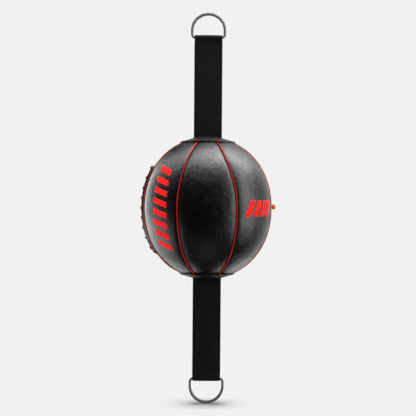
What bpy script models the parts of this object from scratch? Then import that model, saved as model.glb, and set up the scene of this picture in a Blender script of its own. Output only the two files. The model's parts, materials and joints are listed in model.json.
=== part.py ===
"""Floor-to-ceiling boxing ball: a laced, inflated leather ball with a webbing strap and a D-ring at each end.

Units are metres. +Z points up along the ball's axis and +X runs across the width of the straps. The origin is
the inner crown of the upper D-ring, where a ceiling line holds the ball. An azimuth is measured about the
ball's axis, from -Y towards +X. A height is measured outwards from the leather's outer surface, so the pieces
inside the cover have negative heights.
"""

from math import acos, asin, cos, degrees, pi, radians, sin

import bmesh
import bpy
from mathutils import Matrix, Vector

MM = 0.001
GAP = 0.3 * MM
TINY = 1e-6

# D-rings: a round bar bent to a D, with its straight bar in the strap's loop
RING_WIRE_RADIUS = 2.0 * MM
RING_HALF_WIDTH = 29.1 * MM
RING_CORNER_RADIUS = 7.0 * MM
RING_ARC_CENTRE = 13.5 * MM
RING_CROWN = RING_ARC_CENTRE + RING_HALF_WIDTH
RING_EYE_HEIGHT = RING_CROWN - RING_WIRE_RADIUS

# Straps: 50 mm webbing, doubled round the ring's bar
STRAP_WIDTH = 50.0 * MM
WEBBING_THICKNESS = 2.0 * MM
LOOP_HOLE_RADIUS = 3.0 * MM
LOOP_PINCH = 9.0 * MM
BAR_TO_CAP = 175.5 * MM
HINGE_ABOVE_CAP = 2.5 * MM

# Ball: the cover's outer surface is a superellipse turned about the ball's axis
BALL_RADIUS = 114.3 * MM
BALL_HALF_HEIGHT = 125.0 * MM
BALL_POWER = 2.12
LEATHER_THICKNESS = 2.2 * MM
SEAM_AZIMUTHS = (-112.5, -78.0, -26.8, 26.4, 82.5, 137.5, 192.5)
SEAM_DRIFTS_ABOVE = (0.0, 1.0, 4.6, -6.4, 0.0, 0.0, 0.0)
SEAM_DRIFTS_BELOW = (0.0, 4.0, 0.0, 0.0, 0.0, 0.0, 0.0)
SEAM_DRIFT_END = radians(58)
GORE_TIP_RADIUS = 38.0 * MM
VALLEY_DEPTH = 1.2 * MM
VALLEY_POWER = 6
VALLEY_FADE_START = 92.0 * MM
VALLEY_FADE_END = 112.0 * MM
PIPING_RADIUS = 1.3 * MM
PIPING_DEPTH = 1.4 * MM
PIPING_END_RADIUS = 44.5 * MM
PIPING_POINTS = 23

# End caps and what is sewn under them
CAP_RADIUS = 48.7 * MM
CAP_THICKNESS = 2.3 * MM
CAP_SLIT_LENGTH = STRAP_WIDTH + 1.4 * MM
CAP_SLIT_WIDTH = 2 * WEBBING_THICKNESS + 1.0 * MM
DOME_STEPS = 32
DISC_RADIUS = 43.0 * MM
DISC_THICKNESS = 1.6 * MM
DISC_HEIGHT = -3.0 * MM
TAIL_REACH = 24.0 * MM
TAIL_HEIGHT = -0.2 * MM

# Lacing: a narrow gore in two facings, drawn together over a tongue
SLIT_AZIMUTH = -97.5
SLIT_HALF_LENGTH = 76.0 * MM
SLIT_HALF_WIDTH = 3.0 * MM
SLIT_CLOSED_GAP = 0.5 * MM
LACE_ROWS = 9
LACE_PITCH = 17.4 * MM
LACE_RADIUS = 1.5 * MM
LACE_OUTER_HEIGHT = 2.5 * MM
LACE_INNER_HEIGHT = -4.5 * MM
LACE_CORNER = 1.3 * MM
EYELET_OFFSET = 11.0 * MM
EYELET_BORE_RADIUS = 2.2 * MM
EYELET_BARREL_RADIUS = 2.8 * MM
EYELET_FLANGE_RADIUS = 4.2 * MM
EYELET_FLANGE_THICKNESS = 0.5 * MM
TONGUE_HEIGHT = -6.4 * MM
TONGUE_THICKNESS = 1.5 * MM
TONGUE_HALF_WIDTH = 19.0 * MM
TONGUE_HALF_LENGTH = 84.0 * MM

# Bladder and its valve
BLADDER_HEIGHT = -5.2 * MM
BLADDER_DENT_HEIGHT = -8.4 * MM
BLADDER_DENT_AZIMUTHS = (12.5, 20.0)
BLADDER_THICKNESS = 1.5 * MM
VALVE_AZIMUTH = 97.0
VALVE_LEVEL = 2.8 * MM
VALVE_HOLE_RADIUS = 3.0 * MM
VALVE_STEM_RADIUS = 2.5 * MM
VALVE_STEM_BORE = 1.3 * MM
VALVE_STEM_OUT = 2.5 * MM
VALVE_FLANGE_RADIUS = 9.0 * MM
VALVE_FLANGE_THICKNESS = 1.2 * MM
VALVE_EYELET_BORE = 2.9 * MM
VALVE_EYELET_RADIUS = 5.5 * MM
VALVE_EYELET_THICKNESS = 0.6 * MM
PLUG_RADIUS = 4.5 * MM
PLUG_LENGTH = 5.4 * MM
PLUG_EDGE = 0.8 * MM
PLUG_PEG_RADIUS = 1.0 * MM
PLUG_PEG_LENGTH = 12.0 * MM

# Levels on the ball's axis
UPPER_BAR_Z = -RING_EYE_HEIGHT
CAP_POLE = BALL_HALF_HEIGHT + GAP + CAP_THICKNESS
BALL_CENTRE_Z = UPPER_BAR_Z - BAR_TO_CAP - CAP_POLE
HINGE_FROM_CENTRE = CAP_POLE + HINGE_ABOVE_CAP
BAR_FROM_CENTRE = CAP_POLE + BAR_TO_CAP
BALL_CENTRE = Vector((0, 0, BALL_CENTRE_Z))

COLOURS = {
    "black_leather": ((0.018, 0.018, 0.019), 0.38, 0.0),
    "red_piping": ((0.55, 0.035, 0.025), 0.45, 0.0),
    "black_webbing": ((0.012, 0.012, 0.013), 0.8, 0.0),
    "black_lace": ((0.015, 0.015, 0.016), 0.75, 0.0),
    "dark_nickel": ((0.16, 0.155, 0.15), 0.28, 1.0),
    "black_eyelet": ((0.03, 0.03, 0.03), 0.35, 1.0),
    "bladder_rubber": ((0.02, 0.02, 0.02), 0.6, 0.0),
    "pale_rubber": ((0.62, 0.58, 0.52), 0.5, 0.0),
    "red_rubber": ((0.6, 0.06, 0.03), 0.45, 0.0),
}


def clear_scene():
    for old in list(bpy.data.objects):
        bpy.data.objects.remove(old, do_unlink=True)


def new_collection(name):
    collection = bpy.data.collections.new(name)
    bpy.context.scene.collection.children.link(collection)
    return collection


def make_material(name):
    colour, roughness, metallic = COLOURS[name]
    material = bpy.data.materials.new(name)
    material.use_nodes = True
    shader = material.node_tree.nodes["Principled BSDF"]
    shader.inputs["Base Color"].default_value = (*colour, 1.0)
    shader.inputs["Roughness"].default_value = roughness
    shader.inputs["Metallic"].default_value = metallic
    return material


def add_object(name, data, material_name):
    """A new object of the ball, at the origin."""
    piece = bpy.data.objects.new(name, data)
    data.materials.append(MATERIALS[material_name])
    BALL_PARTS.objects.link(piece)
    return piece


def mesh_from(name, points, faces):
    mesh = bpy.data.meshes.new(name)
    mesh.from_pydata([tuple(point) for point in points], [], faces)
    mesh.shade_smooth()
    mesh.set_sharp_from_angle(angle=radians(35))
    return mesh


def solidify(piece, thickness):
    """Thickens an open surface inwards from the side that its faces look to."""
    modifier = piece.modifiers.new("thickness", "SOLIDIFY")
    modifier.thickness = thickness
    modifier.offset = -1.0
    return modifier


def cut(piece, cutter):
    modifier = piece.modifiers.new("cut", "BOOLEAN")
    modifier.operation = "DIFFERENCE"
    modifier.solver = "EXACT"
    modifier.object = cutter
    return modifier


def turned(name, profile, steps, material_name):
    """A solid turned about local Z from (radius, z) points that run down its outer side."""
    mesh = bpy.data.meshes.new(name)
    points = [(radius, 0, z) for radius, z in profile]
    edges = [(i, i + 1) for i in range(len(points) - 1)]
    touches_axis = profile[0][0] == 0
    if not touches_axis:
        edges.append((len(points) - 1, 0))
    mesh.from_pydata(points, edges, [])
    piece = add_object(name, mesh, material_name)
    screw = piece.modifiers.new("turn", "SCREW")
    screw.steps = steps
    screw.render_steps = steps
    screw.use_merge_vertices = True
    screw.merge_threshold = 0.01 * MM
    screw.use_smooth_shade = True
    return piece


def tube(name, points, radius, material_name, cyclic=False, sides=2):
    """A round bar or cord along a list of points."""
    curve = bpy.data.curves.new(name, "CURVE")
    curve.dimensions = "3D"
    curve.bevel_depth = radius
    curve.bevel_resolution = sides
    curve.use_fill_caps = not cyclic
    spline = curve.splines.new("POLY")
    spline.points.add(len(points) - 1)
    for spline_point, point in zip(spline.points, points):
        spline_point.co = (*point, 1.0)
    spline.use_cyclic_u = cyclic
    spline.use_smooth = True
    return add_object(name, curve, material_name)


def latitude_at_radius(radius):
    """The profile's angle where the cover is this far from the ball's axis."""
    return acos((radius / BALL_RADIUS) ** (BALL_POWER / 2))


def latitude_at_level(z):
    """The profile's angle at a level above or below the ball's middle."""
    size = asin((abs(z) / BALL_HALF_HEIGHT) ** (BALL_POWER / 2))
    return size if z >= 0 else -size


def profile_point(latitude, height=0.0):
    """The (radius, z) of a point above or below the cover's surface, from the ball's centre."""
    across, along = max(cos(latitude), 0.0), abs(sin(latitude))
    side = 1 if latitude >= 0 else -1
    power = 2 / BALL_POWER
    normal = Vector((across ** (2 - power) / BALL_RADIUS, along ** (2 - power) / BALL_HALF_HEIGHT))
    normal.normalize()
    radius = BALL_RADIUS * across**power + height * normal.x
    z = BALL_HALF_HEIGHT * along**power + height * normal.y
    return radius, side * z


def ball_point(azimuth, latitude, height=0.0):
    """A point by azimuth in degrees, profile angle and height, from the ball's centre."""
    radius, z = profile_point(latitude, height)
    turn = radians(azimuth)
    return Vector((radius * sin(turn), -radius * cos(turn), z))


def outward(azimuth, latitude):
    """The cover's outward normal."""
    return (ball_point(azimuth, latitude, 1.0) - ball_point(azimuth, latitude)).normalized()


def degrees_for(distance, latitude):
    """The azimuth that a distance round the ball spans at a profile angle."""
    return degrees(distance / profile_point(latitude)[0])


def smooth_step(low, high, value):
    share = min(max((value - low) / (high - low), 0.0), 1.0)
    return share * share * (3 - 2 * share)


def seam_azimuth(number, latitude):
    """Where a seam runs at a profile angle: two draw together above, one draws forward below."""
    above = SEAM_DRIFTS_ABOVE[number] * smooth_step(0.0, SEAM_DRIFT_END, latitude)
    below = SEAM_DRIFTS_BELOW[number] * smooth_step(0.0, SEAM_DRIFT_END, -latitude)
    return SEAM_AZIMUTHS[number] + above + below


def eased(index, count):
    """Shares from 0 to 1 that bunch towards both ends."""
    return (1 - cos(pi * index / count)) / 2


def surface_panel(name, edges, latitudes, columns, height_at, thickness, material_name):
    """A curved panel between two azimuths given for each latitude, thickened inwards."""
    points = []
    for latitude in latitudes:
        start, end = edges(latitude)
        for column in range(columns + 1):
            share = eased(column, columns)
            azimuth = start + (end - start) * share
            points.append(ball_point(azimuth, latitude, height_at(share, latitude)))
    width = columns + 1
    faces = []
    for row in range(len(latitudes) - 1):
        for column in range(columns):
            corner = row * width + column
            faces.append((corner, corner + 1, corner + 1 + width, corner + width))
    piece = add_object(name, mesh_from(name, points, faces), material_name)
    piece.location = BALL_CENTRE
    solidify(piece, thickness)
    return piece


def valley(share, latitude):
    """How far a gore dips towards a seam, which fades out under the end caps."""
    level = abs(profile_point(latitude)[1])
    fade = 1 - smooth_step(VALLEY_FADE_START, VALLEY_FADE_END, level)
    return -VALLEY_DEPTH * fade * abs(2 * share - 1) ** VALLEY_POWER


def gore_latitudes(rows):
    tip = latitude_at_radius(GORE_TIP_RADIUS)
    return [-tip + 2 * tip * row / rows for row in range(rows + 1)]


def make_gores():
    """The six wide gores, from the seam in front of the lacing round to the seam behind it."""
    seam_space = PIPING_RADIUS + GAP
    gores = []
    for number in range(1, len(SEAM_AZIMUTHS)):
        following = (number + 1) % len(SEAM_AZIMUTHS)
        whole_turn = 360 if following == 0 else 0

        def edges(latitude, left=number, right=following, whole_turn=whole_turn):
            inset = degrees_for(seam_space, latitude)
            return seam_azimuth(left, latitude) + inset, seam_azimuth(right, latitude) + whole_turn - inset

        gore = surface_panel(
            f"gore_{number}", edges, gore_latitudes(14), 8, valley, LEATHER_THICKNESS, "black_leather"
        )
        gores.append(gore)
    return gores


def slit_gap(latitude):
    """Half the gap between the facings, wide along the slit and nearly closed beyond it."""
    level = abs(profile_point(latitude)[1])
    opening = 1 - smooth_step(0.8 * SLIT_HALF_LENGTH, SLIT_HALF_LENGTH, level)
    return SLIT_CLOSED_GAP + (SLIT_HALF_WIDTH - SLIT_CLOSED_GAP) * opening


def make_facings(eyelet_holes):
    """The narrow lacing gore, in a half in front of the slit and a half behind it."""
    seam_space = PIPING_RADIUS + GAP

    def front_edges(latitude):
        return (
            SLIT_AZIMUTH + degrees_for(slit_gap(latitude), latitude),
            seam_azimuth(1, latitude) - degrees_for(seam_space, latitude),
        )

    def rear_edges(latitude):
        return (
            seam_azimuth(0, latitude) + degrees_for(seam_space, latitude),
            SLIT_AZIMUTH - degrees_for(slit_gap(latitude), latitude),
        )

    def front_height(share, latitude):
        return valley(max(share, 0.5), latitude)

    def rear_height(share, latitude):
        return valley(min(share, 0.5), latitude)

    for name, edges, height in (
        ("lacing_facing_front", front_edges, front_height),
        ("lacing_facing_rear", rear_edges, rear_height),
    ):
        facing = surface_panel(name, edges, gore_latitudes(14), 4, height, LEATHER_THICKNESS, "black_leather")
        cut(facing, eyelet_holes)


def make_piping():
    end = latitude_at_radius(PIPING_END_RADIUS)
    latitudes = [-end + 2 * end * i / (PIPING_POINTS - 1) for i in range(PIPING_POINTS)]
    for number in range(len(SEAM_AZIMUTHS)):
        azimuths = [seam_azimuth(number, latitude) for latitude in latitudes]
        points = [ball_point(*place, -PIPING_DEPTH) for place in zip(azimuths, latitudes)]
        cord = tube(f"piping_{number + 1}", points, PIPING_RADIUS, "red_piping", sides=1)
        cord.location = BALL_CENTRE


def lace_levels():
    half = (LACE_ROWS - 1) / 2
    return [(half - row) * LACE_PITCH for row in range(LACE_ROWS)]


def eyelet_azimuth(side, latitude, inset=0.0):
    """The azimuth of an eyelet, or of a point nearer the slit by an inset."""
    return SLIT_AZIMUTH + side * degrees_for(EYELET_OFFSET - inset, latitude)


def place_on_surface(piece, azimuth, latitude):
    """Puts a turned piece on the cover, with its Z along the outward normal."""
    turn = outward(azimuth, latitude).to_track_quat("Z", "Y").to_matrix().to_4x4()
    piece.matrix_world = Matrix.Translation(BALL_CENTRE + ball_point(azimuth, latitude)) @ turn


def make_eyelets():
    barrel_end = -LEATHER_THICKNESS - GAP
    flange_top = GAP + EYELET_FLANGE_THICKNESS
    profile = (
        (EYELET_BORE_RADIUS, flange_top),
        (EYELET_FLANGE_RADIUS, flange_top),
        (EYELET_FLANGE_RADIUS, GAP),
        (EYELET_BARREL_RADIUS, GAP),
        (EYELET_BARREL_RADIUS, barrel_end),
        (EYELET_BORE_RADIUS, barrel_end),
    )
    for side, row_name in ((1, "front"), (-1, "rear")):
        for number, level in enumerate(lace_levels(), start=1):
            latitude = latitude_at_level(level)
            eyelet = turned(f"eyelet_{row_name}_{number}", profile, 8, "black_eyelet")
            place_on_surface(eyelet, eyelet_azimuth(side, latitude), latitude)


def make_lace():
    """One lace that crosses the slit outside at every pair of eyelets and slants to the next pair inside."""
    above, below = LACE_OUTER_HEIGHT - LACE_CORNER, LACE_INNER_HEIGHT + LACE_CORNER
    levels = [latitude_at_level(level) for level in lace_levels()]
    points = []
    for row, latitude in enumerate(levels):
        rear, front = eyelet_azimuth(-1, latitude), eyelet_azimuth(1, latitude)
        rear_in = eyelet_azimuth(-1, latitude, LACE_CORNER)
        front_in = eyelet_azimuth(1, latitude, LACE_CORNER)
        points += [
            ball_point(rear, latitude, below),
            ball_point(rear, latitude, above),
            ball_point(rear_in, latitude, LACE_OUTER_HEIGHT),
            ball_point(SLIT_AZIMUTH, latitude, LACE_OUTER_HEIGHT),
            ball_point(front_in, latitude, LACE_OUTER_HEIGHT),
            ball_point(front, latitude, above),
            ball_point(front, latitude, below),
            ball_point(front_in, latitude, LACE_INNER_HEIGHT),
        ]
        if row + 1 < len(levels):
            following = levels[row + 1]
            middle = (latitude + following) / 2
            points += [
                ball_point(SLIT_AZIMUTH, middle, LACE_INNER_HEIGHT),
                ball_point(eyelet_azimuth(-1, following, LACE_CORNER), following, LACE_INNER_HEIGHT),
            ]
    lace = tube("lace", points, LACE_RADIUS, "black_lace", sides=1)
    lace.location = BALL_CENTRE


def make_tongue():
    end = latitude_at_level(TONGUE_HALF_LENGTH)
    rows = 12

    def edges(latitude):
        half = degrees_for(TONGUE_HALF_WIDTH, latitude)
        return SLIT_AZIMUTH - half, SLIT_AZIMUTH + half

    surface_panel(
        "lacing_tongue",
        edges,
        [-end + 2 * end * row / rows for row in range(rows + 1)],
        4,
        lambda share, latitude: TONGUE_HEIGHT,
        TONGUE_THICKNESS,
        "black_leather",
    )


def bladder_height(azimuth):
    """The bladder lies under the cover, and further in behind the lacing."""
    away = abs((azimuth - SLIT_AZIMUTH + 180) % 360 - 180)
    near, far = BLADDER_DENT_AZIMUTHS
    return BLADDER_DENT_HEIGHT + (BLADDER_HEIGHT - BLADDER_DENT_HEIGHT) * smooth_step(near, far, away)


def make_bladder(valve_hole):
    """A hollow rubber ball from a sphere whose points are moved to the cover's shape."""
    mesh = bpy.data.meshes.new("bladder")
    shape = bmesh.new()
    bmesh.ops.create_uvsphere(shape, u_segments=24, v_segments=12, radius=1.0)
    for vertex in shape.verts:
        x, y, z = vertex.co
        on_axis = abs(x) + abs(y) < TINY
        azimuth = 0.0 if on_axis else degrees(Vector((-y, x)).angle_signed(Vector((1, 0)), 0.0))
        latitude = asin(max(-1.0, min(1.0, z)))
        vertex.co = ball_point(azimuth, latitude, bladder_height(azimuth))
    shape.to_mesh(mesh)
    shape.free()
    mesh.shade_smooth()
    bladder = add_object("bladder", mesh, "bladder_rubber")
    bladder.location = BALL_CENTRE
    solidify(bladder, BLADDER_THICKNESS)
    cut(bladder, valve_hole)


def make_valve():
    """Stem on the bladder, eyelet in the gore, and the plug that closes the stem."""
    flange_low = BLADDER_HEIGHT + GAP
    flange_high = flange_low + VALVE_FLANGE_THICKNESS
    stem_profile = (
        (VALVE_STEM_BORE, VALVE_STEM_OUT),
        (VALVE_STEM_RADIUS, VALVE_STEM_OUT),
        (VALVE_STEM_RADIUS, flange_high),
        (VALVE_FLANGE_RADIUS, flange_high),
        (VALVE_FLANGE_RADIUS, flange_low),
        (VALVE_STEM_RADIUS, flange_low),
        (VALVE_STEM_RADIUS, flange_low - PLUG_PEG_LENGTH),
        (VALVE_STEM_BORE, flange_low - PLUG_PEG_LENGTH),
    )
    eyelet_top = GAP + VALVE_EYELET_THICKNESS
    eyelet_profile = (
        (VALVE_EYELET_BORE, eyelet_top),
        (VALVE_EYELET_RADIUS, eyelet_top),
        (VALVE_EYELET_RADIUS, GAP),
        (VALVE_EYELET_BORE, GAP),
    )
    head = VALVE_STEM_OUT + GAP
    plug_profile = (
        (0, head + PLUG_LENGTH),
        (PLUG_RADIUS - PLUG_EDGE, head + PLUG_LENGTH),
        (PLUG_RADIUS, head + PLUG_LENGTH - PLUG_EDGE),
        (PLUG_RADIUS, head),
        (PLUG_PEG_RADIUS, head),
        (PLUG_PEG_RADIUS, head - PLUG_PEG_LENGTH),
        (0, head - PLUG_PEG_LENGTH),
    )
    for name, profile, steps, material_name in (
        ("valve_stem", stem_profile, 16, "pale_rubber"),
        ("valve_eyelet", eyelet_profile, 16, "black_eyelet"),
        ("valve_plug", plug_profile, 16, "red_rubber"),
    ):
        piece = turned(name, profile, steps, material_name)
        place_on_surface(piece, VALVE_AZIMUTH, latitude_at_level(VALVE_LEVEL))


def cap_outline(height, radius, points):
    """(radius, z) points of a dome at a height over the cover, from its pole to a radius."""
    end = latitude_at_radius(radius)
    return [profile_point(pi / 2 - (pi / 2 - end) * i / points, height) for i in range(points + 1)]


def dome(name, height, thickness, radius, rings, material_name):
    """A turned disc that follows the cover, between a height and that height less its thickness."""
    outside = cap_outline(height, radius, rings)
    inside = cap_outline(height - thickness, radius, rings)
    outside[0] = (0, outside[0][1])
    inside[0] = (0, inside[0][1])
    return turned(name, outside + inside[::-1], DOME_STEPS, material_name)


def set_end(piece, side, distance):
    """Places a piece made for the upper end, at a distance from the ball's centre, at either end."""
    piece.location = (0, 0, BALL_CENTRE_Z + side * distance)
    if side < 0:
        piece.rotation_euler = (pi, 0, 0)


def box_cutter(name, size, centre):
    mesh = bpy.data.meshes.new(name)
    shape = bmesh.new()
    bmesh.ops.create_cube(shape, size=1.0)
    bmesh.ops.scale(shape, vec=size, verts=shape.verts)
    bmesh.ops.translate(shape, vec=centre, verts=shape.verts)
    shape.to_mesh(mesh)
    shape.free()
    return as_cutter(name, mesh)


def as_cutter(name, mesh):
    cutter = bpy.data.objects.new(name, mesh)
    CUTTERS.objects.link(cutter)
    cutter.display_type = "WIRE"
    cutter.hide_render = True
    return cutter


def make_end_cap(name, side):
    cap = dome(name, GAP + CAP_THICKNESS, CAP_THICKNESS, CAP_RADIUS, 5, "black_leather")
    set_end(cap, side, 0)
    slit = box_cutter(
        f"{name}_slit",
        (CAP_SLIT_LENGTH, CAP_SLIT_WIDTH, 4 * CAP_THICKNESS),
        (0, 0, side * CAP_POLE),
    )
    slit.location = BALL_CENTRE
    cut(cap, slit)


def make_anchor_disc(name, side):
    disc = dome(name, DISC_HEIGHT, DISC_THICKNESS, DISC_RADIUS, 3, "black_webbing")
    set_end(disc, side, 0)


def make_strap_anchor(name, side):
    """The end of the webbing inside the cover: a tab up the cap's slit, and two tails sewn under the cap."""
    across, along = 6, 8
    points = []
    for row in range(along + 1):
        for column in range(across + 1):
            x = STRAP_WIDTH * (column / across - 0.5)
            y = 2 * TAIL_REACH * (row / along - 0.5)
            latitude = latitude_at_radius(Vector((x, y)).length)
            points.append((x, y, profile_point(latitude, TAIL_HEIGHT)[1]))
    width = across + 1
    faces = []
    for row in range(along):
        for column in range(across):
            corner = row * width + column
            faces.append((corner, corner + 1, corner + 1 + width, corner + width))
    anchor = add_object(name, mesh_from(name, points, faces), "black_webbing")
    set_end(anchor, side, 0)
    solidify(anchor, WEBBING_THICKNESS)

    tab_top = HINGE_FROM_CENTRE - WEBBING_THICKNESS - GAP
    tab_bottom = BALL_HALF_HEIGHT + TAIL_HEIGHT - WEBBING_THICKNESS / 2
    tab = box_cutter(
        f"{name}_tab",
        (STRAP_WIDTH, 2 * WEBBING_THICKNESS, tab_top - tab_bottom),
        (0, 0, side * (tab_top + tab_bottom) / 2),
    )
    tab.location = BALL_CENTRE
    joined = anchor.modifiers.new("tab", "BOOLEAN")
    joined.operation = "UNION"
    joined.solver = "EXACT"
    joined.object = tab


def arc(centre, radius, start, end, steps):
    """Points on an arc in a plane, with angles in degrees."""
    points = []
    for step in range(steps + 1):
        angle = radians(start + (end - start) * step / steps)
        points.append((centre[0] + radius * cos(angle), centre[1] + radius * sin(angle)))
    return points


def make_strap(name, side):
    """The doubled webbing, drawn from the side, from its hinge at the cap to the loop round the bar."""
    bar = BAR_FROM_CENTRE - HINGE_FROM_CENTRE
    loop_radius = LOOP_HOLE_RADIUS + WEBBING_THICKNESS
    taper = degrees(asin((loop_radius - WEBBING_THICKNESS) / LOOP_PINCH))
    outline = arc((0, 0), WEBBING_THICKNESS, 180, 360, 8)
    outline.append((WEBBING_THICKNESS, bar - LOOP_PINCH))
    outline += arc((0, bar), loop_radius, -taper, 180 + taper, 18)
    outline.append((-WEBBING_THICKNESS, bar - LOOP_PINCH))
    hole = arc((0, bar), LOOP_HOLE_RADIUS, 0, 345, 23)

    curve = bpy.data.curves.new(name, "CURVE")
    curve.dimensions = "2D"
    curve.fill_mode = "BOTH"
    curve.extrude = STRAP_WIDTH / 2
    for loop in (outline, hole):
        spline = curve.splines.new("POLY")
        spline.points.add(len(loop) - 1)
        for spline_point, (y, z) in zip(spline.points, loop):
            spline_point.co = (y, z, 0, 1)
        spline.use_cyclic_u = True
    strap = add_object(name, curve, "black_webbing")
    upright = Matrix(((0, 0, 1), (side, 0, 0), (0, side, 0))).to_4x4()
    strap.matrix_world = Matrix.Translation((0, 0, BALL_CENTRE_Z + side * HINGE_FROM_CENTRE)) @ upright
    return strap


def make_ring(name, side):
    """A D-ring whose straight bar lies on its hinge axis."""
    straight = RING_HALF_WIDTH - RING_CORNER_RADIUS
    outline = arc((straight, RING_CORNER_RADIUS), RING_CORNER_RADIUS, -90, 0, 5)
    outline += arc((0, RING_ARC_CENTRE), RING_HALF_WIDTH, 0, 180, 22)
    outline += arc((-straight, RING_CORNER_RADIUS), RING_CORNER_RADIUS, 180, 270, 5)
    points = [(x, 0, z) for x, z in outline]
    ring = tube(name, points, RING_WIRE_RADIUS, "dark_nickel", cyclic=True, sides=3)
    set_end(ring, side, BAR_FROM_CENTRE)
    return ring


def make_eyelet_hole_cutter():
    """A peg for each eyelet's hole, all in one cutter."""
    mesh = bpy.data.meshes.new("eyelet_holes")
    shape = bmesh.new()
    for side in (1, -1):
        for level in lace_levels():
            latitude = latitude_at_level(level)
            azimuth = eyelet_azimuth(side, latitude)
            turn = outward(azimuth, latitude).to_track_quat("Z", "Y").to_matrix().to_4x4()
            radius = EYELET_BARREL_RADIUS + GAP
            bmesh.ops.create_cone(
                shape,
                cap_ends=True,
                segments=10,
                radius1=radius,
                radius2=radius,
                depth=4 * LEATHER_THICKNESS,
                matrix=Matrix.Translation(ball_point(azimuth, latitude)) @ turn,
            )
    shape.to_mesh(mesh)
    shape.free()
    cutter = as_cutter("eyelet_holes", mesh)
    cutter.location = BALL_CENTRE
    return cutter


def make_valve_hole_cutter():
    mesh = bpy.data.meshes.new("valve_hole")
    shape = bmesh.new()
    bmesh.ops.create_cone(
        shape,
        cap_ends=True,
        segments=16,
        radius1=VALVE_HOLE_RADIUS,
        radius2=VALVE_HOLE_RADIUS,
        depth=-4 * BLADDER_HEIGHT,
    )
    shape.to_mesh(mesh)
    shape.free()
    cutter = as_cutter("valve_hole", mesh)
    place_on_surface(cutter, VALVE_AZIMUTH, latitude_at_level(VALVE_LEVEL))
    return cutter


def make_pivot(name, level):
    """An empty on a hinge axis, which carries the pieces that turn there."""
    pivot = bpy.data.objects.new(name, None)
    BALL_PARTS.objects.link(pivot)
    pivot.location = (0, 0, level)
    return pivot


def hang_on(pivot, pieces):
    """Parents pieces to an empty without moving them."""
    bpy.context.view_layer.update()
    for piece in pieces:
        piece.parent = pivot
        piece.matrix_parent_inverse = pivot.matrix_world.inverted()


def build():
    eyelet_holes = make_eyelet_hole_cutter()
    valve_hole = make_valve_hole_cutter()
    gores = make_gores()
    valve_gore = next(
        gore
        for gore, left, right in zip(gores, SEAM_AZIMUTHS[1:], SEAM_AZIMUTHS[2:])
        if left < VALVE_AZIMUTH < right
    )
    cut(valve_gore, valve_hole)
    make_facings(eyelet_holes)
    make_piping()
    make_eyelets()
    make_lace()
    make_tongue()
    make_bladder(valve_hole)
    make_valve()
    for end, side in (("upper", 1), ("lower", -1)):
        make_end_cap(f"{end}_end_cap", side)
        make_anchor_disc(f"{end}_anchor_disc", side)
        make_strap_anchor(f"{end}_strap_anchor", side)
    ball_pieces = [piece for piece in BALL_PARTS.objects if piece.type in {"MESH", "CURVE"}]
    hang_on(make_pivot("ball_hinge", BALL_CENTRE_Z + HINGE_FROM_CENTRE), ball_pieces)

    for end, side in (("upper", 1), ("lower", -1)):
        make_strap(f"{end}_strap", side)
        make_ring(f"{end}_ring", side)


clear_scene()
BALL_PARTS = new_collection("floor_to_ceiling_ball")
CUTTERS = new_collection("cutters")
MATERIALS = {name: make_material(name) for name in COLOURS}
build()
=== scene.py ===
"""Looks of the floor-to-ceiling boxing ball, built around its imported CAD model.

Units are metres in the CAD's own frame: +Z up along the ball's axis, +X across the straps and -Y to the
front. An azimuth is in degrees about the ball's axis, from -Y towards +X. A height is measured outwards from
the leather's nominal surface. A latitude is the profile angle of profile(), in radians.
"""

import json
from math import acos, asin, cos, degrees, pi, radians, sin, tau

import bmesh
import bpy
import numpy as np
from mathutils import Matrix, Vector


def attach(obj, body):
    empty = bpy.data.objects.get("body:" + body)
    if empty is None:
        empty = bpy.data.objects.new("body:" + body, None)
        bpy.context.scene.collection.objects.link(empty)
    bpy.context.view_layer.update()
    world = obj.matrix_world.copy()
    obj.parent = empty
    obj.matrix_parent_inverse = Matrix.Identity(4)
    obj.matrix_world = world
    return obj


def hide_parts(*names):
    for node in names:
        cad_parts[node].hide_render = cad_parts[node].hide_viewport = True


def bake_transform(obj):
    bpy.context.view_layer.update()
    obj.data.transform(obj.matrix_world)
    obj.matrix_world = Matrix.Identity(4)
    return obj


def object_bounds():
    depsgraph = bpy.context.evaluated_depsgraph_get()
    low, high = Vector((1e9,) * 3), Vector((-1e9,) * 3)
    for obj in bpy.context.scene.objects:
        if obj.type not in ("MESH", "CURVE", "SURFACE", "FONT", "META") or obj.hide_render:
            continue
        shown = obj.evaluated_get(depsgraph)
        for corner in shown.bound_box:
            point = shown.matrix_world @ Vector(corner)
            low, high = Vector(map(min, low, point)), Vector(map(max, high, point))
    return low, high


MM = 0.001
NEAR_ZERO = 1e-9

# Sizes that the CAD shares
BALL_RADIUS = 114.3 * MM
BALL_HALF_HEIGHT = 125.0 * MM
BALL_POWER = 2.12
SEAMS = (-112.5, -78.0, -26.8, 26.4, 82.5, 137.5, 192.5)
SEAM_DRIFTS_ABOVE = (0.0, 1.0, 4.6, -6.4, 0.0, 0.0, 0.0)
SEAM_DRIFTS_BELOW = (0.0, 4.0, 0.0, 0.0, 0.0, 0.0, 0.0)
SEAM_DRIFT_END = radians(58)
GORE_TIP_RADIUS = 38.0 * MM
PIPING_END_RADIUS = 44.5 * MM
CAP_RADIUS = 48.7 * MM
CAP_THICKNESS = 2.3 * MM
CAP_GAP = 0.3 * MM
STRAP_WIDTH = 50.0 * MM
LOOP_HOLE_RADIUS = 3.0 * MM
LOOP_PINCH = 9.0 * MM
RING_HALF_WIDTH = 29.1 * MM
RING_CORNER_RADIUS = 7.0 * MM
RING_ARC_CENTRE = 13.5 * MM
SLIT_AZIMUTH = -97.5
SLIT_HALF_LENGTH = 76.0 * MM
SLIT_HALF_WIDTH = 3.0 * MM
LACE_ROWS = 9
LACE_PITCH = 17.4 * MM
EYELET_OFFSET = 11.0 * MM
TONGUE_HEIGHT = -6.4 * MM
TONGUE_HALF_WIDTH = 19.0 * MM
TONGUE_HALF_LENGTH = 84.0 * MM
VALVE_AZIMUTH = 97.0
VALVE_LEVEL = 2.8 * MM

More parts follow.
